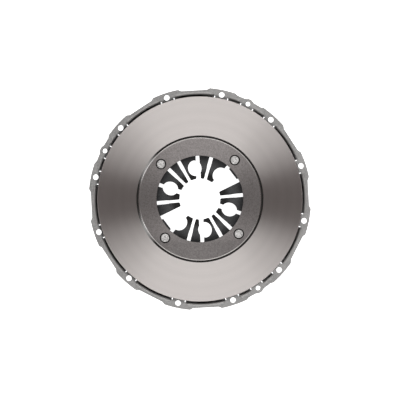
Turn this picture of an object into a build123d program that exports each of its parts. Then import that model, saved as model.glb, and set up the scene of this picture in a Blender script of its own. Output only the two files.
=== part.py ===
from build123d import *
import os
from math import asin, atan2, cos, degrees, hypot, radians, sin, sqrt, tan

# Pull-type diaphragm-spring clutch pressure plate for a heavy vehicle, in millimetres and degrees.
# Origin: centre of the bolt circle on the cover's mounting face. +Z points to the flywheel.
# Angles are measured about +Z from a bolt hole on +X.

os.makedirs("parts", exist_ok=True)

# ---- Radii: the friction ring, then the cover around it ----
friction_outer_r = 216.5
ring_width = 82.3
web_width = 42.5  # inner web, from the friction ring to the bore
wall_gap = 4.6  # running gap between the plate's rim and the cover's wall
bolt_inset = 3.9  # bolt circle outside the inner face of the wall
bolt_edge = 10.2  # bolt circle to the outer edge of the flange pads

friction_inner_r = friction_outer_r - ring_width
bore_r = friction_inner_r - web_width
wall_inner_r = friction_outer_r + wall_gap
bolt_circle_r = wall_inner_r + bolt_inset
pad_r = bolt_circle_r + bolt_edge

# ---- Cover: one pressing of thick sheet ----
sheet = 7.0
bend_inner_r = 1.0
corner_r = 6.0  # inner radius between wall and floor
lip_drop = 4.0  # turned lip round the cover's opening, below the floor
bolt_count = 12
bolt_hole_r = 6.0
dowel_hole_r = 5.0
dowel_angles = (45.0, 135.0, 285.0)
pad_half_angle = 6.75
pad_foot_half_angle = 8.3
dowel_bump_half_angle = 0.8
dowel_foot_half_angle = 2.5
valley_rim = 1.5  # flange left outside the wall between two pads
dowel_rim = 4.2  # the same beside a dowel pad
neck_half_angle = 3.4  # flat neck that reaches in from each pad to the plate
neck_gap = 0.8  # between the plate's rim and the end of a neck
window_half_angle = 3.9  # spanner window through wall and floor behind each pad
pad_corner_r = 6.0
dowel_corner_r = 1.5

bend_outer_r = sheet + bend_inner_r
wall_outer_r = wall_inner_r + sheet
bend_centre_r = wall_inner_r + bend_outer_r
neck_r = friction_outer_r + neck_gap
pitch = 360.0 / bolt_count
bolt_angles = [pitch * k for k in range(bolt_count)]

# ---- Diaphragm spring ----
spring_sheet = 5.2
cone_angle = 9.7  # free cone, rising to the flywheel towards the tips
spring_inset = 16.5  # spring's outer edge inside the friction ring's
lever = 36.0  # spring's outer edge to the plate's fulcrum ridge
tip_r = 43.3
crank_length = 9.5  # flat end of each finger, where the release bearing pulls
inner_slot_width = 5.9
outer_slot_width = 7.8
slot_step_r = 75.0  # the slots have their full width from here outwards
slot_taper = 12.0
root_inset = 14.0  # slot roots inside the fulcrum ridge
root_hole_r = 7.0
short_finger_r = 88.0
notch_r = 66.5  # centre of the rounded notches between fingers
notch_radial = 16.5
notch_tangential = 14.3
mouth_width = 9.2
finger_corner_r = 2.4
# Slots of one half; the other half repeats them 180 degrees on.
plain_slots = (56.5, 101.5, 347.3)
mouth_slots = (75.2, 142.6)
clip_slots = (30.4, 118.2)
gap_slots = (7.7, 30.4)  # the short finger lies between these two
notch_angles = (32.3, 81.3, 142.2)

spring_outer_r = friction_outer_r - spring_inset
ridge_r = spring_outer_r - lever
root_r = ridge_r - root_inset
slope = tan(radians(cone_angle))
half_sheet = spring_sheet / 2 / cos(radians(cone_angle))  # measured along Z

# ---- Pressure plate ----
plate_rise = 2.0  # friction face above the mounting face
web_drop = 1.0  # web's face below the friction face
groove_width = 3.8
groove_depth = 2.5
bevel_width = 1.7
bevel_depth = 0.9
web_thickness = 13.0
web_flare_in = 7.2  # the web starts to thicken this far inside the friction face
web_flare_out = 3.8  # and has the ring's thickness this far outside its inner edge
ring_clearance = 2.5  # ring's back to the spring, above the friction face's inner edge
ridge_half_width = 4.0
edge_chamfer = 1.2
rim_chamfer = 4.0
vent_count = 24
vent_half_angle = 4.5
vent_depth = 9.0
vent_wall = 2.0  # vents' outer ends to the strap bosses
ridge_gap_width = 10.0

# ---- Clips and rivets that hold the spring to the plate ----
clip_angles = (30.0, 120.0, 210.0, 300.0)
rivet_inset = 23.9  # clip rivets inside the friction ring
clip_sheet = 3.0
clip_width = 20.0
clip_toe = 10.0  # foot inboard of its rivet
clip_bend_r = 4.0
hook_length = 15.0
hook_inset = 1.0  # the hook bears this far inside the fulcrum ridge
clip_side_clearance = 4.0
rivet_shank_r = 5.0
rivet_head_r = 8.9
rivet_head_height = 3.4
rivet_tail_r = 8.0
rivet_tail_height = 3.0
counterbore_r = 11.2
counterbore_depth = 4.0
tail_clearance = 2.4  # rivet tail to the spring

# ---- Leaf straps that carry the torque ----
strap_screw_angles = (0.0, 90.0, 180.0, 270.0)
strap_span = 60.0  # between a strap's two holes
strap_inset = 8.0  # strap holes inside the plate's rim
strap_width = 13.0
leaf_sheet = 1.0
leaf_gap = 0.05
leaf_names = ("top", "middle", "bottom")
strap_land = 8.0  # flat length on each side of a hole
strap_drop = 7.0  # cover end below plate end, when free
strap_end_r = 6.0
boss_height = 4.0
boss_r = 8.0
fastener_shank_r = 4.0
screw_depth = 14.0
screw_head_r = 6.5
screw_head_height = 5.0
spacer_r = 6.5
strap_rivet_head_r = 5.9
strap_rivet_head_height = 3.2

# ---- Fits ----
seat_gap = 0.3  # between the spring and what it bears on
shank_clearance = 0.05
ring_wire_r = 3.5  # wire of the cover's fulcrum ring
ring_inset = 3.0  # fulcrum ring inside the spring's edge
ring_rise = 4.0  # fulcrum ring above the cover's floor
bead_r = 7.0  # pressed bead behind the fulcrum ring
bead_depth = 2.2
opening_margin = 4.0  # cover's opening outside the fulcrum ridge

# ---- Heights, from the plate's face down ----
friction_z = plate_rise
web_z = friction_z - web_drop
web_back_z = web_z - web_thickness
tail_end_z = web_back_z - clip_sheet - rivet_tail_height
clip_rivet_r = friction_inner_r - rivet_inset
spring_edge_z = tail_end_z - tail_clearance - half_sheet - (spring_outer_r - clip_rivet_r) * slope


def spring_top(radius):
    """Height of the free spring's upper face."""
    return spring_edge_z + half_sheet + (spring_outer_r - radius) * slope


def spring_bottom(radius):
    """Height of the free spring's lower face."""
    return spring_top(radius) - 2 * half_sheet


ring_back_z = spring_top(friction_inner_r) + ring_clearance
crown_z = spring_top(ridge_r) + (ridge_half_width + seat_gap) / cos(radians(cone_angle))
ring_r = spring_outer_r - ring_inset
ring_z = spring_bottom(ring_r) - (ring_wire_r + seat_gap) / cos(radians(cone_angle))
floor_z = ring_z + ring_wire_r - ring_rise
floor_back_z = floor_z - sheet
opening_r = ridge_r + opening_margin
lip_z = floor_back_z - lip_drop
window_r = ring_r + bead_r - 0.5
boss_z = ring_back_z - boss_height
leaf_pitch = leaf_sheet + leaf_gap
pack_sheet = len(leaf_names) * leaf_pitch - leaf_gap
strap_low_z = boss_z - strap_drop
spacer_top_z = strap_low_z - pack_sheet
strap_hole_r = friction_outer_r - strap_inset
strap_angle = 2 * degrees(asin(strap_span / 2 / strap_hole_r))
strap_mid_r = sqrt(strap_hole_r**2 - (strap_span / 2) ** 2)
strap_rivet_angles = [a - strap_angle for a in strap_screw_angles]


def polar(radius, angle):
    """Point at a radius and an angle in degrees."""
    return (radius * cos(radians(angle)), radius * sin(radians(angle)))


def radial_plane(angle):
    """Upright plane through the axis: local X runs outward, local Y is +Z."""
    x, y = polar(1, angle)
    return Plane(origin=(0, 0, 0), x_dir=(x, y, 0), z_dir=(y, -x, 0))


def sector(inner_r, outer_r, middle, half_angle):
    """Sector of a flat ring."""
    low = middle - half_angle
    high = middle + half_angle
    with BuildSketch() as piece:
        with BuildLine():
            CenterArc((0, 0), outer_r, low, 2 * half_angle)
            Line(polar(outer_r, high), polar(inner_r, high))
            CenterArc((0, 0), inner_r, low, 2 * half_angle)
            Line(polar(inner_r, low), polar(outer_r, low))
        make_face()
    return piece.sketch


def spoke(width, inner_r, outer_r, angle):
    """Radial rectangle between two radii."""
    with BuildSketch() as piece:
        with Locations(Location((*polar((inner_r + outer_r) / 2, angle), 0), (0, 0, angle))):
            Rectangle(outer_r - inner_r, width)
    return piece.sketch


def flare(inner_width, outer_width, inner_r, outer_r, angle):
    """Radial slot that widens outwards between two radii."""
    with BuildSketch() as piece:
        with BuildLine():
            Polyline(
                (inner_r, -inner_width / 2),
                (outer_r, -outer_width / 2),
                (outer_r, outer_width / 2),
                (inner_r, inner_width / 2),
                close=True,
            )
        make_face()
    return piece.sketch.rotate(Axis.Z, angle)


def beside_dowel(vertex):
    """Whether an outline corner belongs to a dowel's bump."""
    angle = degrees(atan2(vertex.Y, vertex.X)) % 360
    return any(abs(angle - a) < dowel_foot_half_angle + 0.1 for a in dowel_angles)


def at_tip(edge):
    """Whether an upright edge is a corner of a finger's tip."""
    return hypot(edge.center().X, edge.center().Y) < tip_r + 0.1


def both_halves(angles):
    """The angles and the same 180 degrees on."""
    return [angle + turn for turn in (0, 180) for angle in angles]


def write(part, name):
    """Labels a finished piece and writes it as its own file."""
    part.label = name
    export_step(part, f"parts/{name}.step")


# ---- Cover ----
with BuildPart() as cover:
    # Pressed bowl: flange, bend, wall, corner, floor and turned lip.
    with BuildSketch(Plane.XZ):
        with BuildLine():
            rim_top = Line((pad_r, 0), (bend_centre_r, 0))
            bend = RadiusArc(rim_top @ 1, (wall_inner_r, -bend_outer_r), -bend_outer_r)
            wall = Line(bend @ 1, (wall_inner_r, floor_z + corner_r))
            corner = RadiusArc(wall @ 1, (wall_inner_r - corner_r, floor_z), corner_r)
            floor = Line(corner @ 1, (opening_r + bend_outer_r, floor_z))
            turn = RadiusArc(floor @ 1, (opening_r, floor_z - bend_outer_r), -bend_outer_r)
            lip = Line(turn @ 1, (opening_r, lip_z))
            lip_end = Line(lip @ 1, (opening_r + sheet, lip_z))
            lip_back = Line(lip_end @ 1, (opening_r + sheet, floor_z - bend_outer_r))
            turn_back = Line(lip_back @ 1, (opening_r + bend_outer_r, floor_back_z))
            floor_back = Line(turn_back @ 1, (wall_inner_r - corner_r, floor_back_z))
            corner_back = RadiusArc(floor_back @ 1, (wall_outer_r, floor_z + corner_r), -corner_r - sheet)
            wall_back = Line(corner_back @ 1, (wall_outer_r, -bend_outer_r))
            bend_back = Line(wall_back @ 1, (bend_centre_r, -sheet))
            rim_back = Line(bend_back @ 1, (pad_r, -sheet))
            Line(rim_back @ 1, rim_top @ 0)
        make_face()
    revolve(axis=Axis.Z)
    # Bead pressed out behind the seat of the fulcrum ring.
    with BuildSketch(Plane.XZ):
        with Locations((ring_r, floor_back_z - bead_depth + bead_r)):
            Circle(bead_r)
        with Locations((ring_r, floor_z + bead_r)):
            Rectangle(3 * bead_r, 2 * bead_r, mode=Mode.SUBTRACT)
    revolve(axis=Axis.Z)
    # Spanner windows behind the pads.
    with BuildSketch(Plane.XY.offset(-sheet)):
        for angle in bolt_angles + list(dowel_angles):
            add(sector(window_r, bend_centre_r, angle, window_half_angle))
    extrude(amount=floor_back_z - bead_depth, mode=Mode.SUBTRACT)
    # Flat pads over the bend, each with a neck that reaches in to the plate.
    with BuildSketch(Plane.XY):
        for angle in bolt_angles + list(dowel_angles):
            add(sector(neck_r, bolt_circle_r, angle, neck_half_angle))
            with BuildLine():
                Polyline(
                    polar(wall_inner_r, angle - window_half_angle),
                    polar(pad_r, angle - pad_half_angle),
                    polar(pad_r, angle + pad_half_angle),
                    polar(wall_inner_r, angle + window_half_angle),
                    close=True,
                )
            make_face()
    extrude(amount=-sheet)
    # Trimmed outline: a raised pad at every bolt, a low bump at every dowel.
    with BuildSketch(Plane.XY.offset(lip_z)) as outline:
        with BuildLine():
            for angle in bolt_angles:
                foot_r = wall_outer_r + valley_rim
                foot_out_r = foot_r / cos(radians(pitch / 2 - pad_foot_half_angle))
                middle = angle + pitch / 2
                CenterArc((0, 0), pad_r, angle - pad_half_angle, 2 * pad_half_angle)
                if middle in dowel_angles:
                    shelf_r = wall_outer_r + dowel_rim
                    Polyline(
                        polar(pad_r, angle + pad_half_angle),
                        polar(shelf_r, angle + pad_foot_half_angle),
                        polar(shelf_r, middle - dowel_foot_half_angle),
                        polar(pad_r, middle - dowel_bump_half_angle),
                    )
                    CenterArc((0, 0), pad_r, middle - dowel_bump_half_angle, 2 * dowel_bump_half_angle)
                    Polyline(
                        polar(pad_r, middle + dowel_bump_half_angle),
                        polar(shelf_r, middle + dowel_foot_half_angle),
                        polar(shelf_r, angle + pitch - pad_foot_half_angle),
                        polar(pad_r, angle + pitch - pad_half_angle),
                    )
                else:
                    Polyline(
                        polar(pad_r, angle + pad_half_angle),
                        polar(foot_out_r, angle + pad_foot_half_angle),
                        polar(foot_out_r, angle + pitch - pad_foot_half_angle),
                        polar(pad_r, angle + pitch - pad_half_angle),
                    )
        make_face()
        corners = outline.vertices()
        fillet(corners.filter_by(beside_dowel), radius=dowel_corner_r)
        fillet(corners.filter_by(beside_dowel, reverse=True), radius=pad_corner_r)
    extrude(amount=-lip_z, mode=Mode.INTERSECT)
    # Bolt holes, dowel holes and the strap rivets' holes.
    with BuildSketch(Plane.XY):
        with Locations(*[polar(bolt_circle_r, a) for a in bolt_angles]):
            Circle(bolt_hole_r)
        with Locations(*[polar(bolt_circle_r, a) for a in dowel_angles]):
            Circle(dowel_hole_r)
    extrude(amount=-sheet, mode=Mode.SUBTRACT)
    with BuildSketch(Plane.XY.offset(floor_z)):
        with Locations(*[polar(strap_hole_r, a) for a in strap_rivet_angles]):
            Circle(fastener_shank_r + shank_clearance)
    extrude(amount=-sheet, mode=Mode.SUBTRACT)
    # Round seat of the fulcrum ring.
    with BuildSketch(Plane.XZ):
        with Locations((ring_r, ring_z)):
            Circle(ring_wire_r + shank_clearance)
    revolve(axis=Axis.Z, mode=Mode.SUBTRACT)
write(cover.part, "cover")

# ---- Fulcrum ring in the cover ----
with BuildPart() as fulcrum_ring:
    with BuildSketch(Plane.XZ):
        with Locations((ring_r, ring_z)):
            Circle(ring_wire_r)
    revolve(axis=Axis.Z)
write(fulcrum_ring.part, "cover_fulcrum_ring")

# ---- Diaphragm spring ----
crank_r = tip_r + crank_length
cut_r = tip_r - 2.0
with BuildPart() as spring:
    with BuildSketch(Plane.XZ):
        with BuildLine():
            Polyline(
                (spring_outer_r, spring_top(spring_outer_r)),
                (crank_r, spring_top(crank_r)),
                (tip_r, spring_top(crank_r)),
                (tip_r, spring_bottom(crank_r)),
                (crank_r, spring_bottom(crank_r)),
                (spring_outer_r, spring_bottom(spring_outer_r)),
                close=True,
            )
        make_face()
    revolve(axis=Axis.Z)
    # Slots, root holes, clip windows, notches and the two short fingers.
    with BuildSketch(Plane.XY.offset(spring_bottom(spring_outer_r))):
        for angle in both_halves(plain_slots + mouth_slots + clip_slots[1:]):
            add(spoke(inner_slot_width, cut_r, slot_step_r - slot_taper, angle))
            add(flare(inner_slot_width, outer_slot_width, slot_step_r - slot_taper, slot_step_r, angle))
            add(spoke(outer_slot_width, slot_step_r, root_r, angle))
        for angle in both_halves(gap_slots):
            add(spoke(outer_slot_width, cut_r, root_r, angle))
        for angle in both_halves(plain_slots + mouth_slots + gap_slots[:1]):
            with Locations(polar(root_r, angle)):
                Circle(root_hole_r)
        for angle in clip_angles:
            middle = polar(root_r - root_hole_r, angle)
            with Locations(Location((*middle, 0), (0, 0, angle))):
                RectangleRounded(
                    4 * root_hole_r - outer_slot_width,
                    clip_width + 2 * clip_side_clearance,
                    clip_side_clearance,
                )
        for angle in both_halves(mouth_slots):
            add(spoke(mouth_width, cut_r, notch_r - notch_radial / 2, angle))
        for angle in both_halves(notch_angles):
            with Locations(Location((*polar(notch_r, angle), 0), (0, 0, angle))):
                Ellipse(notch_radial, notch_tangential)
        for turn in (0, 180):
            low, high = gap_slots
            chord_r = short_finger_r / cos(radians((high - low) / 2))
            with BuildLine():
                Polyline(
                    (0, 0),
                    polar(chord_r, low + turn),
                    polar(chord_r, high + turn),
                    close=True,
                )
            make_face()
    extrude(amount=spring_top(tip_r) - spring_bottom(spring_outer_r), mode=Mode.SUBTRACT)
    fillet(spring.edges().filter_by(Axis.Z).filter_by(at_tip), radius=finger_corner_r)
write(spring.part, "diaphragm_spring")

# ---- Pressure plate ----
groove_r = friction_inner_r - groove_width
bevel_r = groove_r - bevel_width
with BuildPart() as plate:
    with BuildSketch(Plane.XZ):
        with BuildLine():
            Polyline(
                (bore_r, web_z - edge_chamfer),
                (bore_r + edge_chamfer, web_z),
                (bevel_r, web_z),
                (groove_r, web_z - bevel_depth),
                (groove_r, friction_z - groove_depth),
                (friction_inner_r, friction_z - groove_depth),
                (friction_inner_r, friction_z),
                (friction_outer_r - edge_chamfer, friction_z),
                (friction_outer_r, friction_z - edge_chamfer),
                (friction_outer_r, ring_back_z + rim_chamfer),
                (friction_outer_r - rim_chamfer, ring_back_z),
                (friction_inner_r + web_flare_out, ring_back_z),
                (friction_inner_r - web_flare_in, web_back_z),
                (bore_r + edge_chamfer, web_back_z),
                (bore_r, web_back_z + edge_chamfer),
                close=True,
            )
        make_face()
    revolve(axis=Axis.Z)
    # Fulcrum ridge with a rounded crown, broken by air gaps.
    with BuildSketch(Plane.XZ):
        with Locations((ridge_r, (ring_back_z + crown_z) / 2)):
            Rectangle(2 * ridge_half_width, ring_back_z - crown_z)
        with Locations((ridge_r, crown_z)):
            Circle(ridge_half_width)
    revolve(axis=Axis.Z)
    crown_low_z = crown_z - ridge_half_width
    with BuildSketch(Plane.XY.offset(crown_low_z)):
        for angle in bolt_angles:
            with Locations(Location((*polar(ridge_r, angle + pitch / 2), 0), (0, 0, angle + pitch / 2))):
                Rectangle(3 * ridge_half_width, ridge_gap_width)
    extrude(amount=ring_back_z - crown_low_z, mode=Mode.SUBTRACT)
    # Vents cast into the back between the ridge and the rim.
    vent_in_r = ridge_r + 2 * ridge_half_width
    vent_out_r = strap_hole_r - boss_r - vent_wall
    with BuildSketch(Plane.XY.offset(ring_back_z)):
        for k in range(vent_count):
            vent_angle = (k + 0.5) * 360 / vent_count
            add(sector(vent_in_r, vent_out_r, vent_angle, vent_half_angle))
    extrude(amount=vent_depth, mode=Mode.SUBTRACT)
    # Bosses that the straps are screwed to.
    with BuildSketch(Plane.XY.offset(boss_z)):
        with Locations(*[polar(strap_hole_r, a) for a in strap_screw_angles]):
            Circle(boss_r)
    extrude(amount=boss_height + rim_chamfer)
    with BuildSketch(Plane.XY.offset(boss_z)):
        with Locations(*[polar(strap_hole_r, a) for a in strap_screw_angles]):
            Circle(fastener_shank_r + shank_clearance)
    extrude(amount=screw_depth, mode=Mode.SUBTRACT)
    # Counterbored holes of the clip rivets.
    with Locations(*[Pos(*polar(clip_rivet_r, a), web_z) for a in clip_angles]):
        CounterBoreHole(
            radius=rivet_shank_r + shank_clearance,
            counter_bore_radius=counterbore_r,
            counter_bore_depth=counterbore_depth,
            depth=web_thickness + 1,
        )
write(plate.part, "pressure_plate")

# ---- Retaining clips ----
foot_z = web_back_z - clip_sheet / 2
arm_r = friction_inner_r - web_flare_in - clip_sheet
hook_r = ridge_r - hook_inset
hook_z = spring_bottom(hook_r) - seat_gap - clip_sheet / 2
for number, angle in enumerate(clip_angles, start=1):
    with BuildPart() as clip:
        with BuildSketch(radial_plane(angle)):
            with BuildLine():
                FilletPolyline(
                    (clip_rivet_r - clip_toe, foot_z),
                    (arm_r, foot_z),
                    (hook_r - hook_length, hook_z),
                    (hook_r, hook_z),
                    radius=clip_bend_r,
                )
            trace(line_width=clip_sheet)
        extrude(amount=clip_width / 2, both=True)
        with BuildSketch(Plane.XY.offset(web_back_z)):
            with Locations(polar(clip_rivet_r, angle)):
                Circle(rivet_shank_r + shank_clearance)
        extrude(amount=-clip_sheet, mode=Mode.SUBTRACT)
    write(clip.part, f"retaining_clip_{number}")

# ---- Rivets of the clips ----
seat_z = web_z - counterbore_depth
with BuildPart() as clip_rivets:
    with BuildSketch(Plane.XY.offset(seat_z)):
        with Locations(*[polar(clip_rivet_r, a) for a in clip_angles]):
            Circle(rivet_head_r)
    extrude(amount=rivet_head_height)
    chamfer(clip_rivets.edges().group_by(Axis.Z)[-1], length=rivet_head_height / 4)
    with BuildSketch(Plane.XY.offset(tail_end_z)):
        with Locations(*[polar(clip_rivet_r, a) for a in clip_angles]):
            Circle(rivet_tail_r)
    extrude(amount=rivet_tail_height)
    chamfer(clip_rivets.edges().group_by(Axis.Z)[0], length=rivet_tail_height / 3)
    with BuildSketch(Plane.XY.offset(tail_end_z)):
        with Locations(*[polar(clip_rivet_r, a) for a in clip_angles]):
            Circle(rivet_shank_r)
    extrude(amount=seat_z - tail_end_z)
write(clip_rivets.part, "clip_rivets")

# ---- Leaf straps: three leaves in each of four packs ----
half_span = strap_span / 2
for number, screw_angle in enumerate(strap_screw_angles, start=1):
    middle_angle = screw_angle - strap_angle / 2
    rivet_angle = screw_angle - strap_angle
    middle_x, middle_y = polar(strap_mid_r, middle_angle)
    out_x, out_y = polar(1, middle_angle)
    side_plane = Plane(origin=(middle_x, middle_y, 0), x_dir=(-out_y, out_x, 0), z_dir=(out_x, out_y, 0))
    for layer, leaf_name in enumerate(leaf_names):
        low_z = strap_low_z - layer * leaf_pitch
        high_z = boss_z - layer * leaf_pitch
        with BuildPart() as leaf:
            with BuildSketch(side_plane):
                with BuildLine():
                    for drop in (0, leaf_sheet):
                        low = Line((-half_span - strap_land, low_z - drop), (-half_span + strap_land, low_z - drop))
                        high = Line((half_span - strap_land, high_z - drop), (half_span + strap_land, high_z - drop))
                        bow = TangentArc(low @ 1, (low @ 1 + high @ 0) / 2, tangent=(1, 0))
                        TangentArc(high @ 0, bow @ 1, tangent=(-1, 0))
                    Line((-half_span - strap_land, low_z), (-half_span - strap_land, low_z - leaf_sheet))
                    Line((half_span + strap_land, high_z), (half_span + strap_land, high_z - leaf_sheet))
                make_face()
            extrude(amount=strap_width / 2, both=True)
            fillet(leaf.edges().filter_by(Axis.Z), radius=strap_end_r)
            with BuildSketch(Plane.XY.offset(low_z - leaf_sheet)):
                with Locations(polar(strap_hole_r, rivet_angle), polar(strap_hole_r, screw_angle)):
                    Circle(fastener_shank_r + shank_clearance)
            extrude(amount=high_z - low_z + leaf_sheet, mode=Mode.SUBTRACT)
        write(leaf.part, f"strap_{number}_{leaf_name}_leaf")

# ---- Spacers under the straps' cover ends ----
for number, rivet_angle in enumerate(strap_rivet_angles, start=1):
    with BuildPart() as spacer:
        with BuildSketch(Plane.XY.offset(floor_z)):
            with Locations(polar(strap_hole_r, rivet_angle)):
                Circle(spacer_r)
                Circle(fastener_shank_r + shank_clearance, mode=Mode.SUBTRACT)
        extrude(amount=spacer_top_z - floor_z)
    write(spacer.part, f"strap_spacer_{number}")

# ---- Rivets through cover, spacers and straps ----
with BuildPart() as strap_rivets:
    with BuildSketch(Plane.XY.offset(floor_back_z - strap_rivet_head_height)):
        with Locations(*[polar(strap_hole_r, a) for a in strap_rivet_angles]):
            Circle(strap_rivet_head_r)
    extrude(amount=strap_rivet_head_height)
    with BuildSketch(Plane.XY.offset(strap_low_z)):
        with Locations(*[polar(strap_hole_r, a) for a in strap_rivet_angles]):
            Circle(strap_rivet_head_r)
    extrude(amount=strap_rivet_head_height)
    head_rims = strap_rivets.edges().group_by(Axis.Z)
    chamfer(head_rims[0] + head_rims[-1], length=strap_rivet_head_height / 3)
    with BuildSketch(Plane.XY.offset(floor_back_z)):
        with Locations(*[polar(strap_hole_r, a) for a in strap_rivet_angles]):
            Circle(fastener_shank_r)
    extrude(amount=strap_low_z - floor_back_z)
write(strap_rivets.part, "strap_rivets")

# ---- Screws that hold the straps to the plate ----
pack_back_z = boss_z - pack_sheet
with BuildPart() as strap_screws:
    with BuildSketch(Plane.XY.offset(pack_back_z)):
        with Locations(*[polar(strap_hole_r, a) for a in strap_screw_angles]):
            RegularPolygon(radius=screw_head_r, side_count=6)
    extrude(amount=-screw_head_height)
    with BuildSketch(Plane.XY.offset(pack_back_z)):
        with Locations(*[polar(strap_hole_r, a) for a in strap_screw_angles]):
            Circle(fastener_shank_r)
    extrude(amount=screw_depth - 1 + pack_sheet)
write(strap_screws.part, "strap_screws")

print("floor", floor_z, "lip", lip_z, "spring edge", spring_edge_z, "ring back", ring_back_z)
print("lever ratio", (spring_outer_r - tip_r) / lever)
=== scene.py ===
"""Pull-type diaphragm spring clutch pressure plate: finishes, bending pieces and studio."""

import logging
import math
from dataclasses import dataclass
from enum import Enum

import bmesh
import bpy
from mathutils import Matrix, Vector


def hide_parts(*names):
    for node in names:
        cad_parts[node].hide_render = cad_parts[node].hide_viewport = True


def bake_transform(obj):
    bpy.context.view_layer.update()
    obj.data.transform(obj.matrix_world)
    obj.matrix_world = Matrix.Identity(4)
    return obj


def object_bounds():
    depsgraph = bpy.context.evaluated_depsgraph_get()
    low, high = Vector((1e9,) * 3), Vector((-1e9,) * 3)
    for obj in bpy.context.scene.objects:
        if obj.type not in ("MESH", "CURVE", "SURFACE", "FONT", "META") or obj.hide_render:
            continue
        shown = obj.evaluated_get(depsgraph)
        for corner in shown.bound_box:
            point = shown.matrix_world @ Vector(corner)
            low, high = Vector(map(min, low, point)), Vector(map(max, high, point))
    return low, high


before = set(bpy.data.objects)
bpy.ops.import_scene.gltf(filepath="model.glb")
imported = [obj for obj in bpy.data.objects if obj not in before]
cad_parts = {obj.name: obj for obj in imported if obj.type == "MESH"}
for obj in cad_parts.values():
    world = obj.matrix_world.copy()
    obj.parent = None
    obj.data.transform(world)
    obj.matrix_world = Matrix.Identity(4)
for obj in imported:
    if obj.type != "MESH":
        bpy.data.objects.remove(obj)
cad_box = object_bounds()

log = logging.getLogger("pressure_plate")

MM = 0.001
MERGE_DISTANCE = 0.002 * MM
CUT_TOLERANCE = 0.0001 * MM
SHARP_ANGLE = 32.0
Colour = tuple[float, float, float]
Way = tuple[float, float, float]
Place = tuple[float, float, float]
Size = tuple[float, float]
Span = tuple[float, float]


def rim_point(radius: float, angle: float) -> Vector:
    """Gives a point of the flange face by its radius and its angle about the clutch axis.

    Args:
        radius: Distance from the axis, in mm.
        angle: Angle about +Z from +X, in degrees.

    Returns:
        The point, in metres.
    """
    turn = math.radians(angle)
    return Vector((radius * math.cos(turn), radius * math.sin(turn), 0.0)) * MM


def darken(colour: Colour, share: float) -> Colour:
    """Gives a colour with a share of its brightness."""
    return tuple(share * value for value in colour)


# ---------------------------------------------------------------- shader graphs


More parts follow.
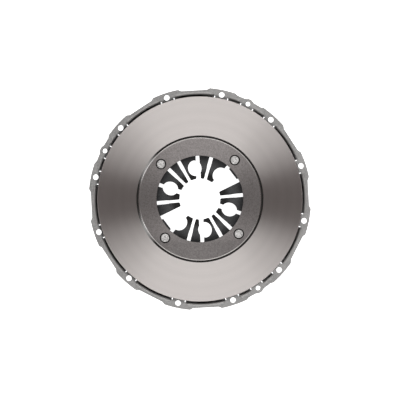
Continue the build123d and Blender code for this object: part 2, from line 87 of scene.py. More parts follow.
class Graph:
    """Writes shader nodes into one node tree."""

    def __init__(self, tree: bpy.types.NodeTree) -> None:
        """Keeps the tree that the nodes go into."""
        self.tree = tree

    def node(self, kind: str, inputs: dict | None = None, **settings: object) -> bpy.types.Node:
        """Adds one node.

        Args:
            kind: The node's type, without its ShaderNode prefix.
            inputs: Values or output sockets for its inputs, by name or place.
            settings: Attributes of the node, set before its inputs.

        Returns:
            The new node.
        """
        made = self.tree.nodes.new("ShaderNode" + kind)
        for key, value in settings.items():
            setattr(made, key, value)
        for key, value in (inputs or {}).items():
            if isinstance(value, bpy.types.NodeSocket):
                self.join(value, made.inputs[key])
            else:
                made.inputs[key].default_value = value
        return made

    def math(self, operation: str, first: object, second: object = 0.0) -> bpy.types.NodeSocket:
        """Adds one Math node.

        Args:
            operation: Blender's name of the operation.
            first: First value or socket.
            second: Second value or socket.

        Returns:
            The result's socket.
        """
        return self.node("Math", {0: first, 1: second}, operation=operation).outputs[0]

    def between(self, value: bpy.types.NodeSocket, low: float, high: float, start: float = 0.0,
                end: float = 1.0, easing: str = "LINEAR") -> bpy.types.NodeSocket:
        """Maps a value from one span to another, held at both ends.

        Args:
            value: The value's socket.
            low: Value that gives start.
            high: Value that gives end.
            start: Result at low.
            end: Result at high.
            easing: Blender's name of the way from start to end.

        Returns:
            The result's socket.
        """
        inputs = {0: value, 1: low, 2: high, 3: start, 4: end}
        return self.node("MapRange", inputs, interpolation_type=easing).outputs[0]

    def mix(self, share: object, first: object, second: object) -> bpy.types.NodeSocket:
        """Mixes two colours.

        Args:
            share: Share of the second colour.
            first: First colour, as a tuple or a socket.
            second: Second colour, as a tuple or a socket.

        Returns:
            The mixed colour's socket.
        """
        inputs = {0: share}
        for place, colour in ((6, first), (7, second)):
            inputs[place] = (*colour, 1.0) if isinstance(colour, tuple) else colour
        return self.node("Mix", inputs, data_type="RGBA").outputs[2]

    def mix_values(self, share: object, first: object, second: object) -> bpy.types.NodeSocket:
        """Mixes two values.

        Args:
            share: Share of the second value.
            first: First value or socket.
            second: Second value or socket.

        Returns:
            The mixed value's socket.
        """
        return self.node("Mix", {0: share, 2: first, 3: second}, data_type="FLOAT").outputs[0]

    def both(self, first: object, second: object) -> bpy.types.NodeSocket:
        """Multiplies two masks or values."""
        return self.math("MULTIPLY", first, second)

    def band(self, value: bpy.types.NodeSocket, rise: Span, fall: Span) -> bpy.types.NodeSocket:
        """Masks the values between two ramps.

        Args:
            value: The value's socket.
            rise: Where the mask goes from 0 to 1.
            fall: Where it goes back, with the value of 0 first.

        Returns:
            The mask's socket.
        """
        return self.both(self.between(value, *rise), self.between(value, *fall))

    def place(self) -> bpy.types.NodeSocket:
        """Gives the point on the piece, in metres."""
        return self.node("TexCoord").outputs["Object"]

    def dot(self, first: object, second: object) -> bpy.types.NodeSocket:
        """Gives the dot product of two vectors."""
        return self.node("VectorMath", {0: first, 1: second}, operation="DOT_PRODUCT").outputs["Value"]

    def along(self, way: Way) -> bpy.types.NodeSocket:
        """Gives how far the point lies along a way, in metres."""
        return self.dot(self.place(), way)

    def noise(self, scale: object, detail: float, roughness: float = 0.5) -> bpy.types.NodeSocket:
        """Adds noise over the piece.

        Args:
            scale: Its scale, as a value or a socket.
            detail: Number of its octaves.
            roughness: Share that each octave has of the one before.

        Returns:
            The noise's socket.
        """
        inputs = {"Vector": self.place(), "Scale": scale, "Detail": detail, "Roughness": roughness}
        return self.node("TexNoise", inputs).outputs[0]

    def join(self, source: bpy.types.NodeSocket, target: bpy.types.NodeSocket) -> None:
        """Links two sockets."""
        self.tree.links.new(source, target)

    def group(self, tree: bpy.types.NodeTree, **inputs: object) -> bpy.types.Node:
        """Places a shared node group.

        Args:
            tree: The group.
            inputs: Values or sockets for its inputs, with underscores for spaces.

        Returns:
            The group's node.
        """
        named = {key.replace("_", " "): value for key, value in inputs.items()}
        return self.node("Group", named, node_tree=tree)


class Effect:
    """Builds one shared node group."""

    def __init__(self, name: str, inputs: dict[str, float]) -> None:
        """Starts the group.

        Args:
            name: The group's name.
            inputs: Names and usual values of its inputs.
        """
        tree = bpy.data.node_groups.new(name, "ShaderNodeTree")
        for label, usual in inputs.items():
            socket = tree.interface.new_socket(label, in_out="INPUT", socket_type="NodeSocketFloat")
            socket.default_value = usual
        self.graph = Graph(tree)
        self.start = tree.nodes.new("NodeGroupInput").outputs
        self.end = tree.nodes.new("NodeGroupOutput").inputs

    def put_out(self, label: str, source: bpy.types.NodeSocket, kind: str = "NodeSocketFloat") -> None:
        """Gives the group one more output.

        Args:
            label: The output's name.
            source: The socket that it shows.
            kind: Blender's name of the socket's type.
        """
        self.graph.tree.interface.new_socket(label, in_out="OUTPUT", socket_type=kind)
        self.graph.join(source, self.end[label])


# Spans of the noise, of the angle at an edge and of the openness of a corner that the masks use.
CLOUD_SPAN: Span = (0.3, 0.7)
SPECKLE_SPAN: Span = (0.32, 0.68)
SPECKLE_RELIEF = 0.65
MARK_SPAN: Span = (0.3, 0.7)
EDGE_SPAN: Span = (0.995, 0.85)
EDGE_PATCHES: Span = (0.35, 0.6)
RECESS_SPAN: Span = (0.85, 0.25)
RECESS_PATCHES: Span = (0.25, 0.55)
RECESS_LEAST = 0.5


def build_axis_group() -> bpy.types.NodeTree:
    """Builds the group that gives the distance from the clutch axis and the height.

    Returns:
        The group. Radius and Height are in metres.
    """
    effect = Effect("clutch_axis", {})
    graph = effect.graph
    x, y, z = graph.node("SeparateXYZ", {0: graph.place()}).outputs
    effect.put_out("Radius", graph.math("SQRT", graph.math("ADD", graph.both(x, x), graph.both(y, y))))
    effect.put_out("Height", z)
    return graph.tree


def build_mottle_group() -> bpy.types.NodeTree:
    """Builds the group for grain: a soft cloud and a fine speckle.

    Returns:
        The group. Cloud and Speckle run from 0 to 1, and Relief mixes both.
    """
    effect = Effect("mottle", {"Cloud Scale": 30.0, "Speckle Scale": 400.0})
    graph = effect.graph
    cloud = graph.between(graph.noise(effect.start[0], detail=4.0, roughness=0.6), *CLOUD_SPAN)
    speckle = graph.between(graph.noise(effect.start[1], detail=2.0, roughness=0.7), *SPECKLE_SPAN)
    effect.put_out("Cloud", cloud)
    effect.put_out("Speckle", speckle)
    effect.put_out("Relief", graph.mix_values(SPECKLE_RELIEF, cloud, speckle))
    return graph.tree


def build_lathe_group() -> bpy.types.NodeTree:
    """Builds the group for turned faces: tool marks round the axis.

    Returns:
        The group. Lines and Bands run from 0 to 1.
    """
    effect = Effect("lathe_marks", {"Radius": 0.1, "Pitch": 0.0009, "Band": 0.012})
    graph = effect.graph
    for label, pitch in (("Lines", effect.start[1]), ("Bands", effect.start[2])):
        turns = graph.math("DIVIDE", effect.start[0], pitch)
        marks = graph.node("TexNoise", {"W": turns, "Scale": 1.0, "Detail": 2.0}, noise_dimensions="1D")
        effect.put_out(label, graph.between(marks.outputs[0], *MARK_SPAN))
    return graph.tree


def build_edge_group() -> bpy.types.NodeTree:
    """Builds the group that rounds and wears edges.

    Returns:
        The group. Wear is 1 on an edge and 0 away from it, and Rounded is the surface's softened normal.
    """
    effect = Effect("worn_edges", {"Width": 0.0008, "Breakup Scale": 90.0})
    graph = effect.graph
    rounded = graph.node("Bevel", {"Radius": effect.start[0]}, samples=4).outputs[0]
    facing = graph.dot(rounded, graph.node("NewGeometry").outputs["Normal"])
    patches = graph.between(graph.noise(effect.start[1], detail=3.0), *EDGE_PATCHES)
    effect.put_out("Wear", graph.both(graph.between(facing, *EDGE_SPAN), patches))
    effect.put_out("Rounded", rounded, "NodeSocketVector")
    return graph.tree


def build_grime_and_shade_group() -> bpy.types.NodeTree:
    """Builds the group that darkens corners and recesses, found by ambient occlusion, as soiling and painted
    shade.

    Returns:
        The group. Grime_And_Shade is 1 in a deep corner and 0 on an open face.
    """
    effect = Effect("recess_grime_and_shade", {"Reach": 0.01, "Breakup Scale": 70.0})
    graph = effect.graph
    # Painted shade together with soiling: the mask follows ambient occlusion, which is where shade falls in
    # corners.
    openness = graph.node("AmbientOcclusion", {"Distance": effect.start[0]}, samples=6).outputs["AO"]
    patches = graph.between(graph.noise(effect.start[1], detail=4.0), *RECESS_PATCHES, RECESS_LEAST, 1.0)
    effect.put_out("Grime_And_Shade", graph.both(graph.between(openness, *RECESS_SPAN), patches))
    return graph.tree


class Effects:
    """Holds the shared node groups."""

    def __init__(self) -> None:
        """Builds every group once."""
        self.axis = build_axis_group()
        self.mottle = build_mottle_group()
        self.lathe = build_lathe_group()
        self.edges = build_edge_group()
        self.grime_and_shade = build_grime_and_shade_group()


# ---------------------------------------------------------------- finishes


@dataclass(frozen=True)
class Finish:
    """A surface finish with one material."""

    slot: str

    def build(self, effects: Effects) -> bpy.types.Material:
        """Makes the material.

        Args:
            effects: The shared node groups.

        Returns:
            The material, named after its slot.
        """
        material = bpy.data.materials.new(self.slot)
        material.use_nodes = True
        material.node_tree.nodes.clear()
        graph = Graph(material.node_tree)
        shader = graph.node("BsdfPrincipled")
        graph.node("OutputMaterial", {"Surface": shader.outputs[0]})
        self.shade(graph, shader, effects)
        return material

    def shade(self, graph: Graph, shader: bpy.types.Node, effects: Effects) -> None:
        """Wires the shader.

        Args:
            graph: The material's graph.
            shader: Its Principled BSDF.
            effects: The shared node groups.
        """
        raise NotImplementedError

    def relief(self, graph: Graph, shader: bpy.types.Node, height: bpy.types.NodeSocket, depth: float,
               normal: bpy.types.NodeSocket | None = None) -> None:
        """Feeds a bump into the shader's normal.

        Args:
            graph: The material's graph.
            shader: Its Principled BSDF.
            height: Height from 0 to 1.
            depth: Depth of the relief, in metres.
            normal: Normal that the bump lies on, where it isn't the surface's own.
        """
        bump = graph.node("Bump", {"Strength": 1.0, "Distance": depth, "Height": height})
        if normal is not None:
            graph.join(normal, bump.inputs["Normal"])
        graph.join(bump.outputs[0], shader.inputs["Normal"])


@dataclass(frozen=True)
class SheetCoating(Finish):
    """Satin grey coating over pressed sheet, bright where it is worn, with a painted highlight on the bend.

    The coat is painted lighter towards one side of the cover, as painted light. Painted shade darkens the
    flange along its inner edge, most on its darker side.
    """

    slot: str = "cover_paint"
    coat: Colour = (0.37, 0.37, 0.366)
    shade_coat: Colour = (0.155, 0.155, 0.155)
    bare_and_highlight: Colour = (0.56, 0.55, 0.54)
    dirt_and_shade: Colour = (0.15, 0.145, 0.14)
    painted_edge_shade: Colour = (0.03, 0.03, 0.03)
    metallic: float = 0.35
    roughness: Span = (0.38, 0.5)
    relief_depth: float = 0.16 * MM
    cloud_scale: float = 22.0
    speckle_scale: float = 300.0
    speckle_share: float = 0.4
    edge_width: float = 1.2 * MM
    wear_share: float = 0.35
    painted_light_way: Way = (0.82, -0.57, 0.0)
    painted_light_span: Span = (-220.0 * MM, 220.0 * MM)
    painted_light_share: float = 0.36
    bend_highlight_inner: Span = (220.5 * MM, 222.1 * MM)
    bend_highlight_outer: Span = (225.5 * MM, 223.5 * MM)
    bend_highlight_low: Span = (-9.0 * MM, -7.0 * MM)
    bend_highlight_top: Span = (-0.1 * MM, -0.5 * MM)
    grime_and_shade_reach: float = 14.0 * MM
    dirt_and_shade_depth: Span = (-9.0 * MM, -12.0 * MM)
    dirt_and_shade_share: float = 0.7
    painted_edge_shade_radius: Span = (224.0 * MM, 220.0 * MM)
    painted_edge_shade_depth: Span = (-6.0 * MM, -3.0 * MM)
    painted_edge_shade_by_light: Span = (0.95, 0.1)
    painted_edge_shade_shares: Span = (0.12, 0.9)

    def shade(self, graph: Graph, shader: bpy.types.Node, effects: Effects) -> None:
        """Wires a mottled coating: worn edges, painted light, a painted bend highlight, painted rim shade,
        and corners darkened as soiling and painted shade.

        Args:
            graph: The material's graph.
            shader: Its Principled BSDF.
            effects: The shared node groups.
        """
        axis = graph.group(effects.axis)
        radius, height = axis.outputs["Radius"], axis.outputs["Height"]
        mottle = graph.group(effects.mottle, Cloud_Scale=self.cloud_scale, Speckle_Scale=self.speckle_scale)
        edges = graph.group(effects.edges, Width=self.edge_width)
        grime_and_shade = graph.group(effects.grime_and_shade, Reach=self.grime_and_shade_reach)
        # Painted light: the coat is lighter towards one side of the cover, mixed with its cloudy tone.
        run = graph.between(graph.along(self.painted_light_way), *self.painted_light_span)
        tone_and_painted_light = graph.mix_values(self.painted_light_share, mottle.outputs["Cloud"], run)
        coat = graph.mix(tone_and_painted_light, self.shade_coat, self.coat)
        speckled = graph.mix(graph.both(mottle.outputs["Speckle"], self.speckle_share), coat, self.bare_and_highlight)
        # Painted highlight: the steep part of the bend is painted in the light colour of worn metal.
        bend = graph.both(graph.band(radius, self.bend_highlight_inner, self.bend_highlight_outer),
                          graph.band(height, self.bend_highlight_low, self.bend_highlight_top))
        bend_highlighted = graph.mix(bend, speckled, self.bare_and_highlight)
        worn = graph.mix(graph.both(edges.outputs["Wear"], self.wear_share), bend_highlighted, self.bare_and_highlight)
        # Soiling and painted shade: corners deep inside the cover are darkened.
        dirt_and_shade_share = graph.between(height, *self.dirt_and_shade_depth, 0.0, self.dirt_and_shade_share)
        dirty_and_shaded = graph.mix(graph.both(grime_and_shade.outputs["Grime_And_Shade"], dirt_and_shade_share), worn, self.dirt_and_shade)
        # Painted shade: the flange is darkened along its inner edge next to the plate, most on its darker
        # side.
        rim = graph.both(graph.between(radius, *self.painted_edge_shade_radius), graph.between(height, *self.painted_edge_shade_depth))
        painted_edge_shade_share = graph.between(run, *self.painted_edge_shade_by_light, *self.painted_edge_shade_shares)
        graph.join(graph.mix(graph.both(rim, painted_edge_shade_share), dirty_and_shaded, self.painted_edge_shade), shader.inputs["Base Color"])
        rough = graph.between(mottle.outputs["Cloud"], 0.0, 1.0, *self.roughness)
        graph.join(rough, shader.inputs["Roughness"])
        shader.inputs["Metallic"].default_value = self.metallic
        self.relief(graph, shader, mottle.outputs["Relief"], self.relief_depth, edges.outputs["Rounded"])


@dataclass(frozen=True)
class TurnedIron(Finish):
    """Grey iron casting: turned ring, groove painted dark as soiling and shade, polished bevel with a painted
    glint, web darker to one side, rough back.
    """

    slot: str = "cast_iron"
    ring: Colour = (0.62, 0.585, 0.57)
    web: Colour = (0.365, 0.34, 0.335)
    cast: Colour = (0.22, 0.21, 0.205)
    grime_and_shade: Colour = (0.046, 0.044, 0.042)
    polish: Colour = (0.46, 0.44, 0.43)
    glint: Colour = (0.95, 0.94, 0.93)
    ring_roughness: Span = (0.40, 0.46)
    cast_roughness: Span = (0.55, 0.72)
    bevel_roughness: float = 0.26
    relief_depth: float = 0.03 * MM
    cloud_scale: float = 16.0
    speckle_scale: float = 420.0
    grime_and_shade_reach: float = 12.0 * MM
    ring_shadow: float = 0.86
    ring_band_share: float = 0.2
    ring_edge: Span = (134.0 * MM, 134.1 * MM)
    ring_height: Span = (0.6 * MM, 0.8 * MM)
    web_shadow: float = 0.68
    web_cloud_share: float = 0.85
    web_height: Span = (-0.4 * MM, -0.1 * MM)
    pit_share: float = 0.5
    back_height: Span = (-9.0 * MM, -12.0 * MM)
    bevel_inner: Span = (127.9 * MM, 128.2 * MM)
    bevel_outer: Span = (129.8 * MM, 129.6 * MM)
    groove_inner: Span = (129.8 * MM, 130.0 * MM)
    groove_outer: Span = (135.0 * MM, 134.6 * MM)
    groove_low: Span = (-2.0 * MM, -1.0 * MM)
    groove_top: Span = (0.6 * MM, 0.4 * MM)
    glint_way: Way = (-0.945, 0.328, 0.0)
    glint_rise: Span = (92.0 * MM, 112.0 * MM)
    glint_fall: Span = (130.0 * MM, 118.0 * MM)
    glint_groove_share: float = 0.55
    darker_side_way: Way = (-0.311, -0.950, 0.0)
    darker_side_span: Span = (70.0 * MM, 95.0 * MM)
    darker_side_share: float = 0.33
    grain_height: Span = (1.1 * MM, 1.8 * MM)
    grain_shares: Span = (0.8, 1.0)
    grain_depth: Span = (-2.0 * MM, 0.0)
    grain_turn: float = 0.25

    def shade(self, graph: Graph, shader: bpy.types.Node, effects: Effects) -> None:
        """Wires the turned ring, the groove, the web and the casting skin by place.

        Args:
            graph: The material's graph.
            shader: Its Principled BSDF.
            effects: The shared node groups.
        """
        axis = graph.group(effects.axis)
        radius, height = axis.outputs["Radius"], axis.outputs["Height"]
        mottle = graph.group(effects.mottle, Cloud_Scale=self.cloud_scale, Speckle_Scale=self.speckle_scale)
        lathe = graph.group(effects.lathe, Radius=radius)
        grime_and_shade = graph.group(effects.grime_and_shade, Reach=self.grime_and_shade_reach)
        face = graph.both(graph.between(radius, *self.ring_edge), graph.between(height, *self.ring_height))
        bevel = graph.band(radius, self.bevel_inner, self.bevel_outer)
        groove = graph.both(graph.band(radius, self.groove_inner, self.groove_outer),
                            graph.band(height, self.groove_low, self.groove_top))
        skin = self.colour_skin(graph, mottle, grime_and_shade, height)
        web = graph.mix(bevel, self.colour_web(graph, mottle), self.polish)
        # Soiling and painted shade: the groove is painted near-black.
        inside = graph.mix(groove, graph.mix(graph.between(height, *self.web_height), skin, web), self.grime_and_shade)
        # Painted highlight: on one side the bevel, and in part the groove, are painted near white in two
        # lobes.
        glint = graph.band(graph.along(self.glint_way), self.glint_rise, self.glint_fall)
        bright = graph.math("MAXIMUM", bevel, graph.both(groove, self.glint_groove_share))
        inside = graph.mix(graph.both(glint, bright), inside, self.glint)
        banded = graph.both(lathe.outputs["Bands"], self.ring_band_share)
        ring = graph.mix(banded, self.ring, darken(self.ring, self.ring_shadow))
        graph.join(graph.mix(face, inside, ring), shader.inputs["Base Color"])
        fine = graph.between(lathe.outputs["Lines"], 0.0, 1.0, *self.ring_roughness)
        coarse = graph.between(mottle.outputs["Speckle"], 0.0, 1.0, *self.cast_roughness)
        rough = graph.mix_values(face, graph.mix_values(bevel, coarse, self.bevel_roughness), fine)
        graph.join(rough, shader.inputs["Roughness"])
        shader.inputs["Metallic"].default_value = 1.0
        self.brush(graph, shader)
        marks = graph.mix_values(face, mottle.outputs["Relief"], lathe.outputs["Lines"])
        self.relief(graph, shader, marks, self.relief_depth)

    def colour_skin(self, graph: Graph, mottle: bpy.types.Node, grime_and_shade: bpy.types.Node,
                    height: bpy.types.NodeSocket) -> bpy.types.NodeSocket:
        """Colours the walls below the web near-black as soiling and painted shade, and the back as pitted
        casting with darkened corners.

        Args:
            graph: The material's graph.
            mottle: The placed grain group.
            grime_and_shade: The placed group for soiling and painted shade.
            height: Height of the point.

        Returns:
            The colour's socket.
        """
        pitted = graph.mix(graph.both(mottle.outputs["Speckle"], self.pit_share), self.cast, self.web)
        # Soiling and painted shade: the casting's corners are darkened, and the walls just below the web are
        # painted near-black.
        cast = graph.mix(grime_and_shade.outputs["Grime_And_Shade"], pitted, self.grime_and_shade)
        return graph.mix(graph.between(height, *self.back_height), self.grime_and_shade, cast)

    def colour_web(self, graph: Graph, mottle: bpy.types.Node) -> bpy.types.NodeSocket:
        """Colours the web as cloudy iron, darker towards one side.

        Args:
            graph: The material's graph.
            mottle: The placed grain group.

        Returns:
            The colour's socket.
        """
        cloudy = graph.both(mottle.outputs["Relief"], self.web_cloud_share)
        web = graph.mix(cloudy, self.web, darken(self.web, self.web_shadow))
        # The web is darker towards one side.
        darker_side = graph.between(graph.along(self.darker_side_way), *self.darker_side_span, 0.0, self.darker_side_share)
        return graph.mix(darker_side, web, self.grime_and_shade)

    def brush(self, graph: Graph, shader: bpy.types.Node) -> None:
        """Stretches the gloss across the tool marks, most on the ring and not on the cast back.

        Args:
            graph: The material's graph.
            shader: Its Principled BSDF.
        """
        height = graph.node("SeparateXYZ", {0: graph.place()}).outputs["Z"]
        turned = graph.between(height, *self.grain_height, *self.grain_shares)
        graph.join(graph.both(turned, graph.between(height, *self.grain_depth)), shader.inputs["Anisotropic"])
        shader.inputs["Anisotropic Rotation"].default_value = self.grain_turn
        tangent = graph.node("Tangent", direction_type="RADIAL", axis="Z")
        graph.join(tangent.outputs[0], shader.inputs["Tangent"])


@dataclass(frozen=True)
class Phosphate(Finish):
    """Dark phosphated spring steel, blacker at the finger tips."""

    slot: str = "spring_black"
    body: Colour = (0.026, 0.027, 0.029)
    dust: Colour = (0.088, 0.090, 0.093)
    tip: Colour = (0.004, 0.004, 0.004)
    tip_span: Span = (66.0 * MM, 54.0 * MM)
    metallic: float = 0.4
    roughness: Span = (0.42, 0.6)
    relief_depth: float = 0.1 * MM
    cloud_scale: float = 60.0
    speckle_scale: float = 560.0

    def shade(self, graph: Graph, shader: bpy.types.Node, effects: Effects) -> None:
        """Wires a grainy phosphate skin with hardened tips.

        Args:
            graph: The material's graph.
            shader: Its Principled BSDF.
            effects: The shared node groups.
        """
        axis = graph.group(effects.axis)
        mottle = graph.group(effects.mottle, Cloud_Scale=self.cloud_scale, Speckle_Scale=self.speckle_scale)
        skin = graph.mix(mottle.outputs["Relief"], self.body, self.dust)
        tip = graph.between(axis.outputs["Radius"], *self.tip_span)
        graph.join(graph.mix(tip, skin, self.tip), shader.inputs["Base Color"])
        rough = graph.between(mottle.outputs["Speckle"], 0.0, 1.0, *self.roughness)
        graph.join(rough, shader.inputs["Roughness"])
        shader.inputs["Metallic"].default_value = self.metallic
        self.relief(graph, shader, mottle.outputs["Relief"], self.relief_depth)


@dataclass(frozen=True)
class BareSteel(Finish):
    """Bare or lightly coated steel of the small pieces."""

    light: Colour = (0.5, 0.5, 0.5)
    dark: Colour = (0.3, 0.3, 0.3)
    shadow: float = 0.3
    roughness: float = 0.4
    gloss_spread: Span = (-0.06, 0.08)
    relief_depth: float = 0.05 * MM
    cloud_scale: float = 120.0
    speckle_scale: float = 1100.0
    edge_width: float = 0.5 * MM
    grime_and_shade_reach: float = 4.0 * MM

    def shade(self, graph: Graph, shader: bpy.types.Node, effects: Effects) -> None:
        """Wires mottled steel with bright edges and dark corners.

        Args:
            graph: The material's graph.
            shader: Its Principled BSDF.
            effects: The shared node groups.
        """
        mottle = graph.group(effects.mottle, Cloud_Scale=self.cloud_scale, Speckle_Scale=self.speckle_scale)
        edges = graph.group(effects.edges, Width=self.edge_width)
        grime_and_shade = graph.group(effects.grime_and_shade, Reach=self.grime_and_shade_reach)
        skin = graph.mix(mottle.outputs["Cloud"], self.dark, self.light)
        worn = graph.mix(edges.outputs["Wear"], skin, self.light)
        # Soiling and painted shade: corners are darkened towards the shadow tone.
        dirty_and_shaded = graph.mix(grime_and_shade.outputs["Grime_And_Shade"], worn, darken(self.dark, self.shadow))
        graph.join(dirty_and_shaded, shader.inputs["Base Color"])
        smoother, rougher = (self.roughness + change for change in self.gloss_spread)
        rough = graph.between(mottle.outputs["Speckle"], 0.0, 1.0, smoother, rougher)
        graph.join(rough, shader.inputs["Roughness"])
        shader.inputs["Metallic"].default_value = 1.0
        self.relief(graph, shader, mottle.outputs["Relief"], self.relief_depth, edges.outputs["Rounded"])


class Palette:
    """Makes each finish's material once and paints pieces with it."""

    def __init__(self) -> None:
        """Builds the materials of every slot."""
        effects = Effects()
        finishes = (
            SheetCoating(),
            TurnedIron(),
            Phosphate(),
            BareSteel(slot="spring_steel", light=(0.26, 0.27, 0.30), dark=(0.12, 0.13, 0.16), roughness=0.36),
            BareSteel(slot="clip_steel", light=(0.40, 0.40, 0.40), dark=(0.20, 0.20, 0.205), roughness=0.45),
            BareSteel(slot="rivet_steel", light=(0.92, 0.91, 0.90), dark=(0.26, 0.255, 0.25),
                      cloud_scale=280.0, relief_depth=0.4 * MM, edge_width=1.6 * MM),
            BareSteel(slot="screw_steel", light=(0.50, 0.51, 0.53), dark=(0.34, 0.35, 0.36), roughness=0.38),
        )
        self.materials = {finish.slot: finish.build(effects) for finish in finishes}

    def paint(self, piece: bpy.types.Object, slot: str) -> None:
        """Gives a piece the material of a slot.

        Args:
            piece: The piece's object.
            slot: The material slot's name.
        """
        piece.data.materials.clear()
        piece.data.materials.append(self.materials[slot])

    def dress(self, node: str, slot: str) -> None:
        """Gives a solid's own mesh the material of a slot.

        Args:
            node: The solid's name.
            slot: The material slot's name.
        """
        self.paint(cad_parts[node], slot)
        log.info("%s finished as %s", node, slot)


# ---------------------------------------------------------------- meshes and bends


def copy_solid(node: str) -> bmesh.types.BMesh:
    """Copies a solid's mesh and joins its loose triangles.

    Args:
        node: The solid's name.

    Returns:
        The joined mesh.
    """
    mesh = bmesh.new()
    mesh.from_mesh(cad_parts[node].data)
    bmesh.ops.remove_doubles(mesh, verts=mesh.verts, dist=MERGE_DISTANCE)
    return mesh


def slice_mesh(mesh: bmesh.types.BMesh, point: Vector, way: Vector,
               clear: bool = False) -> list[bmesh.types.BMEdge]:
    """Slices a mesh along a plane.

    Args:
        mesh: The mesh, which is sliced.
        point: A point of the plane, in metres.
        way: The plane's normal.
        clear: Whether what lies behind the plane goes.

    Returns:
        The edges that lie in the plane.
    """
    everything = [*mesh.verts, *mesh.edges, *mesh.faces]
    cut = bmesh.ops.bisect_plane(mesh, geom=everything, dist=CUT_TOLERANCE, plane_co=point, plane_no=way,
                                 clear_inner=clear)
    return [item for item in cut["geom_cut"] if isinstance(item, bmesh.types.BMEdge)]


def cut_across(mesh: bmesh.types.BMesh, start: Vector, end: Vector, count: int) -> None:
    """Cuts a mesh across at equal steps, so that it bends smoothly.

    Args:
        mesh: The mesh, which gets the cuts.
        start: Point of the first cut, in metres.
        end: Point of the last cut, in metres.
        count: Number of steps between them.
    """
    for step in range(count + 1):
        slice_mesh(mesh, start.lerp(end, step / count), (end - start).normalized())


def trim(mesh: bmesh.types.BMesh, point: Vector, way: Vector) -> None:
    """Cuts away what lies behind a plane and closes the cut.

    Args:
        mesh: The mesh, which is trimmed.
        point: A point of the plane, in metres.
        way: The plane's normal, towards the kept side.
    """
    rim = slice_mesh(mesh, point, way, clear=True)
    bmesh.ops.holes_fill(mesh, edges=rim, sides=0)


def make_piece(mesh: bmesh.types.BMesh, name: str) -> bpy.types.Object:
    """Turns a mesh into a shown piece, smooth between its sharp edges.

    Args:
        mesh: The mesh, which is freed.
        name: The piece's name.

    Returns:
        The piece's object.
    """
    for face in mesh.faces:
        face.smooth = True
    for edge in mesh.edges:
        edge.smooth = len(edge.link_faces) == 2 and edge.calc_face_angle() < math.radians(SHARP_ANGLE)
    data = bpy.data.meshes.new(name)
    mesh.to_mesh(data)
    mesh.free()
    piece = bpy.data.objects.new(name, data)
    bpy.context.scene.collection.objects.link(piece)
    return piece


@dataclass(frozen=True)
class Bend:
    """How a piece bends between the cover and a body that moves."""

    moving_body: str
    start: Vector
    end: Vector

    def hang(self, mesh: bmesh.types.BMesh, name: str, node: str, slot: str, palette: Palette) -> None:
        """Makes a mesh a painted piece that takes a solid's place.

        Args:
            mesh: The mesh, which is freed.
            name: The piece's name.
            node: The solid that it replaces.
            slot: Its material slot.
            palette: The materials.
        """
        piece = make_piece(mesh, name)
        palette.paint(piece, slot)
        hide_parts(node)
        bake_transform(piece)
        log.info("%s bends between cover and %s", name, self.moving_body)


# ---------------------------------------------------------------- sub-assemblies


@dataclass
class CoverGroup:
    """Pressed cover with its fulcrum ring, spacers and rivets."""

    pack_count: int = 4

    def dress(self, palette: Palette) -> None:
        """Gives each solid its finish.

        Args:
            palette: The materials.
        """
        palette.dress("cover", "cover_paint")
        palette.dress("cover_fulcrum_ring", "spring_steel")
        palette.dress("strap_rivets", "rivet_steel")
        for number in range(1, self.pack_count + 1):
            palette.dress(f"strap_spacer_{number}", "rivet_steel")


@dataclass
class PlateGroup:
    """Pressure plate with the clips, rivets and screws that it carries."""

    clip_count: int = 4

    def dress(self, palette: Palette) -> None:
        """Gives each solid its finish.

        Args:
            palette: The materials.
        """
        palette.dress("pressure_plate", "cast_iron")
        palette.dress("clip_rivets", "rivet_steel")
        palette.dress("strap_screws", "screw_steel")
        for number in range(1, self.clip_count + 1):
            palette.dress(f"retaining_clip_{number}", "clip_steel")


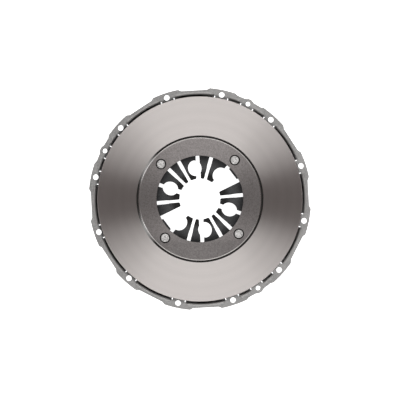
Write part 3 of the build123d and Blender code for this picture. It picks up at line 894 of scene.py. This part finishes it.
@dataclass
class DiaphragmSpring:
    """Diaphragm spring in sectors, each in two zones that meet on the plate's fulcrum ridge.

    The rim tilts from the cover's ring to the ridge, which moves with the plate, and the finger goes on from
    there to the release bearing. The finger's bend is set so that it moves as far as the plate on the ridge.
    """

    slots: tuple[float, ...] = (7.7, 30.4, 56.5, 75.2, 101.5, 118.2, 142.6, 167.3)
    widest: float = 20.0
    rim_radius: float = 200.0
    ridge_radius: float = 164.0
    tip_radius: float = 43.3
    bend_start: float = 227.7
    bend_end: float = 22.7
    rim_steps: int = 9
    finger_steps: int = 20

    def bounds_of_sectors(self) -> list[Span]:
        """Gives the sectors' angles, from slot to slot, with wide fingers halved.

        Returns:
            Lower and upper angle of each sector, in degrees.
        """
        lines = [angle + turn for turn in (0.0, 180.0) for angle in self.slots]
        lines.append(lines[0] + 360.0)
        sectors = []
        for low, high in zip(lines, lines[1:]):
            halves = 2 if high - low > self.widest else 1
            width = (high - low) / halves
            sectors += [(low + half * width, low + (half + 1) * width) for half in range(halves)]
        return sectors

    def build_sector(self, sector: bmesh.types.BMesh, number: int, bounds: Span, palette: Palette) -> None:
        """Builds, paints and hangs both zones of one sector.

        Args:
            sector: A copy of the whole spring's mesh, which is used up.
            number: The sector's number.
            bounds: Its lower and upper angle, in degrees.
            palette: The materials.
        """
        low, high = bounds
        middle = (low + high) / 2
        reach = math.cos(math.radians((high - low) / 2))
        radii = (self.rim_radius, self.ridge_radius, self.tip_radius, self.bend_start, self.bend_end)
        places = (rim_point(radius * reach, middle) for radius in radii)
        rim_line, ridge_line, tip_line, bend_start, bend_end = places
        trim(sector, Vector(), rim_point(1.0, low + 90.0).normalized())
        trim(sector, Vector(), rim_point(1.0, high - 90.0).normalized())
        rim, finger = sector, sector.copy()
        outward = rim_line.normalized()
        trim(rim, ridge_line, outward)
        trim(finger, ridge_line, -outward)
        cut_across(rim, ridge_line, rim_line, self.rim_steps)
        cut_across(finger, tip_line, ridge_line, self.finger_steps)
        for zone, mesh, bend in (("rim", rim, Bend("pressure_plate", rim_line, ridge_line)),
                                 ("finger", finger, Bend("diaphragm", bend_start, bend_end))):
            bend.hang(mesh, f"spring_{zone}_{number:02d}", "diaphragm_spring", "spring_black", palette)

    def build(self, palette: Palette) -> None:
        """Builds every sector.

        Args:
            palette: The materials.
        """
        whole = copy_solid("diaphragm_spring")
        for number, bounds in enumerate(self.bounds_of_sectors(), start=1):
            self.build_sector(whole.copy(), number, bounds, palette)
        whole.free()


class Leaf(Enum):
    """The leaves of one strap pack, from the plate's side down."""

    TOP = "top"
    MIDDLE = "middle"
    BOTTOM = "bottom"


@dataclass
class StrapPacks:
    """Leaf straps that bend between the cover and the plate."""

    screw_angles: tuple[float, ...] = (0.0, 90.0, 180.0, 270.0)
    hole_radius: float = 208.5
    span: float = 60.0
    land: float = 8.0
    steps: int = 11

    def build(self, palette: Palette) -> None:
        """Builds, paints and hangs every leaf.

        Args:
            palette: The materials.
        """
        swing = 2 * math.degrees(math.asin(self.span / 2 / self.hole_radius))
        for number, angle in enumerate(self.screw_angles, start=1):
            rivet = rim_point(self.hole_radius, angle - swing)
            screw = rim_point(self.hole_radius, angle)
            land = (screw - rivet).normalized() * self.land * MM
            bend = Bend("pressure_plate", rivet + land, screw - land)
            for leaf in Leaf:
                node = f"strap_{number}_{leaf.value}_leaf"
                mesh = copy_solid(node)
                cut_across(mesh, bend.start, bend.end, self.steps)
                bend.hang(mesh, f"bending_{node}", node, "spring_steel", palette)


# ---------------------------------------------------------------- studio


@dataclass
class Studio:
    """Pale floor, dome with two bright sides, soft lights and the camera straight above.

    Places are given as the camera sees them: to its right, to its top and above the flange face.
    """

    turn: float = -18.14
    view_width: float = 0.8449
    lens: float = 85.0
    sensor: float = 36.0
    centre_right: float = 0.0002
    centre_up: float = -0.00215
    floor_size: float = 40.0
    floor_gap: float = 0.0002
    floor_colour: Colour = (0.9, 0.9, 0.9)
    floor_roughness: float = 0.9
    floor_glow: float = 0.95
    side_light: Colour = (1.12, 1.11, 1.10)
    end_light: Colour = (0.10, 0.078, 0.075)
    zenith_light: Colour = (0.32, 0.31, 0.31)
    horizon_light: Colour = (0.85, 0.85, 0.85)
    side_span: Span = (0.03, 0.47)
    zenith_span: Span = (0.06, 0.36)
    horizon_span: Span = (0.22, 0.08)
    zenith_guard: float = 1e-6
    dome_strength: float = 1.0
    softbox_place: Place = (0.0, 1.9, 1.7)
    softbox_size: Size = (3.2, 1.2)
    top_power: float = 13.0
    bottom_power: float = 11.0
    card_place: Place = (0.45, 0.26, 0.4)
    card_size: Size = (0.2, 0.2)
    card_power: float = 0.08
    glint_place: Place = (-1.2, 0.5, 0.8)
    glint_size: Size = (0.3, 0.3)
    glint_power: float = 0.4

    def across(self, right: float, up: float, height: float) -> Vector:
        """Gives a point by its place in the camera's view.

        Args:
            right: Distance to the view's right, in metres.
            up: Distance to the view's top, in metres.
            height: Height above the flange face, in metres.

        Returns:
            The point.
        """
        turn = math.radians(self.turn)
        right_way = Vector((math.cos(turn), math.sin(turn), 0.0))
        up_way = Vector((-math.sin(turn), math.cos(turn), 0.0))
        return right_way * right + up_way * up + Vector((0.0, 0.0, height))

    def build_floor(self) -> None:
        """Builds the floor that the cover stands on."""
        mesh = bmesh.new()
        bmesh.ops.create_grid(mesh, x_segments=1, y_segments=1, size=self.floor_size / 2)
        bmesh.ops.translate(mesh, verts=mesh.verts, vec=(0.0, 0.0, cad_box[0].z - self.floor_gap))
        floor = make_piece(mesh, "floor")
        material = bpy.data.materials.new("floor_white")
        material.use_nodes = True
        shader = material.node_tree.nodes["Principled BSDF"]
        shader.inputs["Base Color"].default_value = (*self.floor_colour, 1.0)
        shader.inputs["Roughness"].default_value = self.floor_roughness
        shader.inputs["Emission Color"].default_value = (1.0, 1.0, 1.0, 1.0)
        shader.inputs["Emission Strength"].default_value = self.floor_glow
        floor.data.materials.append(material)

    def build_dome(self) -> None:
        """Builds the world: two broad bright sides, dark ends and a calm zenith."""
        world = bpy.data.worlds.new("studio_dome")
        world.use_nodes = True
        world.node_tree.nodes.clear()
        graph = Graph(world.node_tree)
        way = graph.node("TexCoord").outputs["Generated"]
        shares = []
        for axis in (self.across(1.0, 0.0, 0.0), self.across(0.0, 1.0, 0.0)):
            share = graph.dot(way, tuple(axis))
            shares.append(graph.both(share, share))
        end_on, side_on = shares
        level = graph.math("ADD", graph.math("ADD", end_on, side_on), self.zenith_guard)
        side = graph.between(graph.math("DIVIDE", side_on, level), *self.side_span, easing="SMOOTHSTEP")
        tilted = graph.between(graph.math("SQRT", level), *self.zenith_span, easing="SMOOTHSTEP")
        height = graph.node("SeparateXYZ", {0: way}).outputs["Z"]
        horizon = graph.between(height, *self.horizon_span, easing="SMOOTHSTEP")
        around = graph.mix(side, self.end_light, self.side_light)
        colour = graph.mix(horizon, graph.mix(tilted, self.zenith_light, around), self.horizon_light)
        background = graph.node("Background", {"Color": colour, "Strength": self.dome_strength})
        graph.node("OutputWorld", {"Surface": background.outputs[0]})
        bpy.context.scene.world = world

    def add_softbox(self, name: str, place: Place, size: Size, power: float) -> None:
        """Adds an area light that faces the object.

        Args:
            name: The light's name.
            place: Where it hangs, as the camera sees it.
            size: Its width and height, in metres.
            power: Its power, in watts.
        """
        data = bpy.data.lights.new(name, "AREA")
        data.shape = "RECTANGLE"
        data.size, data.size_y = size
        data.energy = power
        light = bpy.data.objects.new(name, data)
        light.location = self.across(*place)
        light.rotation_euler = (-light.location).to_track_quat("-Z", "Y").to_euler()
        light.visible_camera = False
        bpy.context.scene.collection.objects.link(light)

    def build_lights(self) -> None:
        """Builds the softboxes and the small card and glint lights, above and below the view's middle."""
        right, up, height = self.softbox_place
        self.add_softbox("softbox_top", (right, up, height), self.softbox_size, self.top_power)
        self.add_softbox("softbox_bottom", (right, -up, height), self.softbox_size, self.bottom_power)
        small = (("card", self.card_place, self.card_size, self.card_power),
                 ("glint", self.glint_place, self.glint_size, self.glint_power))
        for side, mirror in (("upper", 1.0), ("lower", -1.0)):
            for name, (right, up, height), size, power in small:
                self.add_softbox(f"{name}_{side}", (right, up * mirror, height), size, power)

    def build_camera(self) -> None:
        """Builds the camera, turned about the clutch axis."""
        bpy.context.scene.view_settings.view_transform = "Standard"
        data = bpy.data.cameras.new("camera")
        data.lens = self.lens
        data.sensor_width = self.sensor
        camera = bpy.data.objects.new("camera", data)
        distance = self.view_width * self.lens / self.sensor
        camera.location = self.across(self.centre_right, self.centre_up, distance)
        camera.rotation_euler = (0.0, 0.0, math.radians(self.turn))
        bpy.context.scene.collection.objects.link(camera)
        bpy.context.scene.camera = camera

    def build(self) -> None:
        """Builds floor, world, lights and camera."""
        self.build_floor()
        self.build_dome()
        self.build_lights()
        self.build_camera()
        log.info("studio built")


def main() -> None:
    """Builds the dressed pressure plate and its studio."""
    logging.basicConfig(level=logging.INFO, format="%(name)s: %(message)s")
    palette = Palette()
    CoverGroup().dress(palette)
    PlateGroup().dress(palette)
    DiaphragmSpring().build(palette)
    StrapPacks().build(palette)
    Studio().build()


if __name__ == "__main__":
    main()
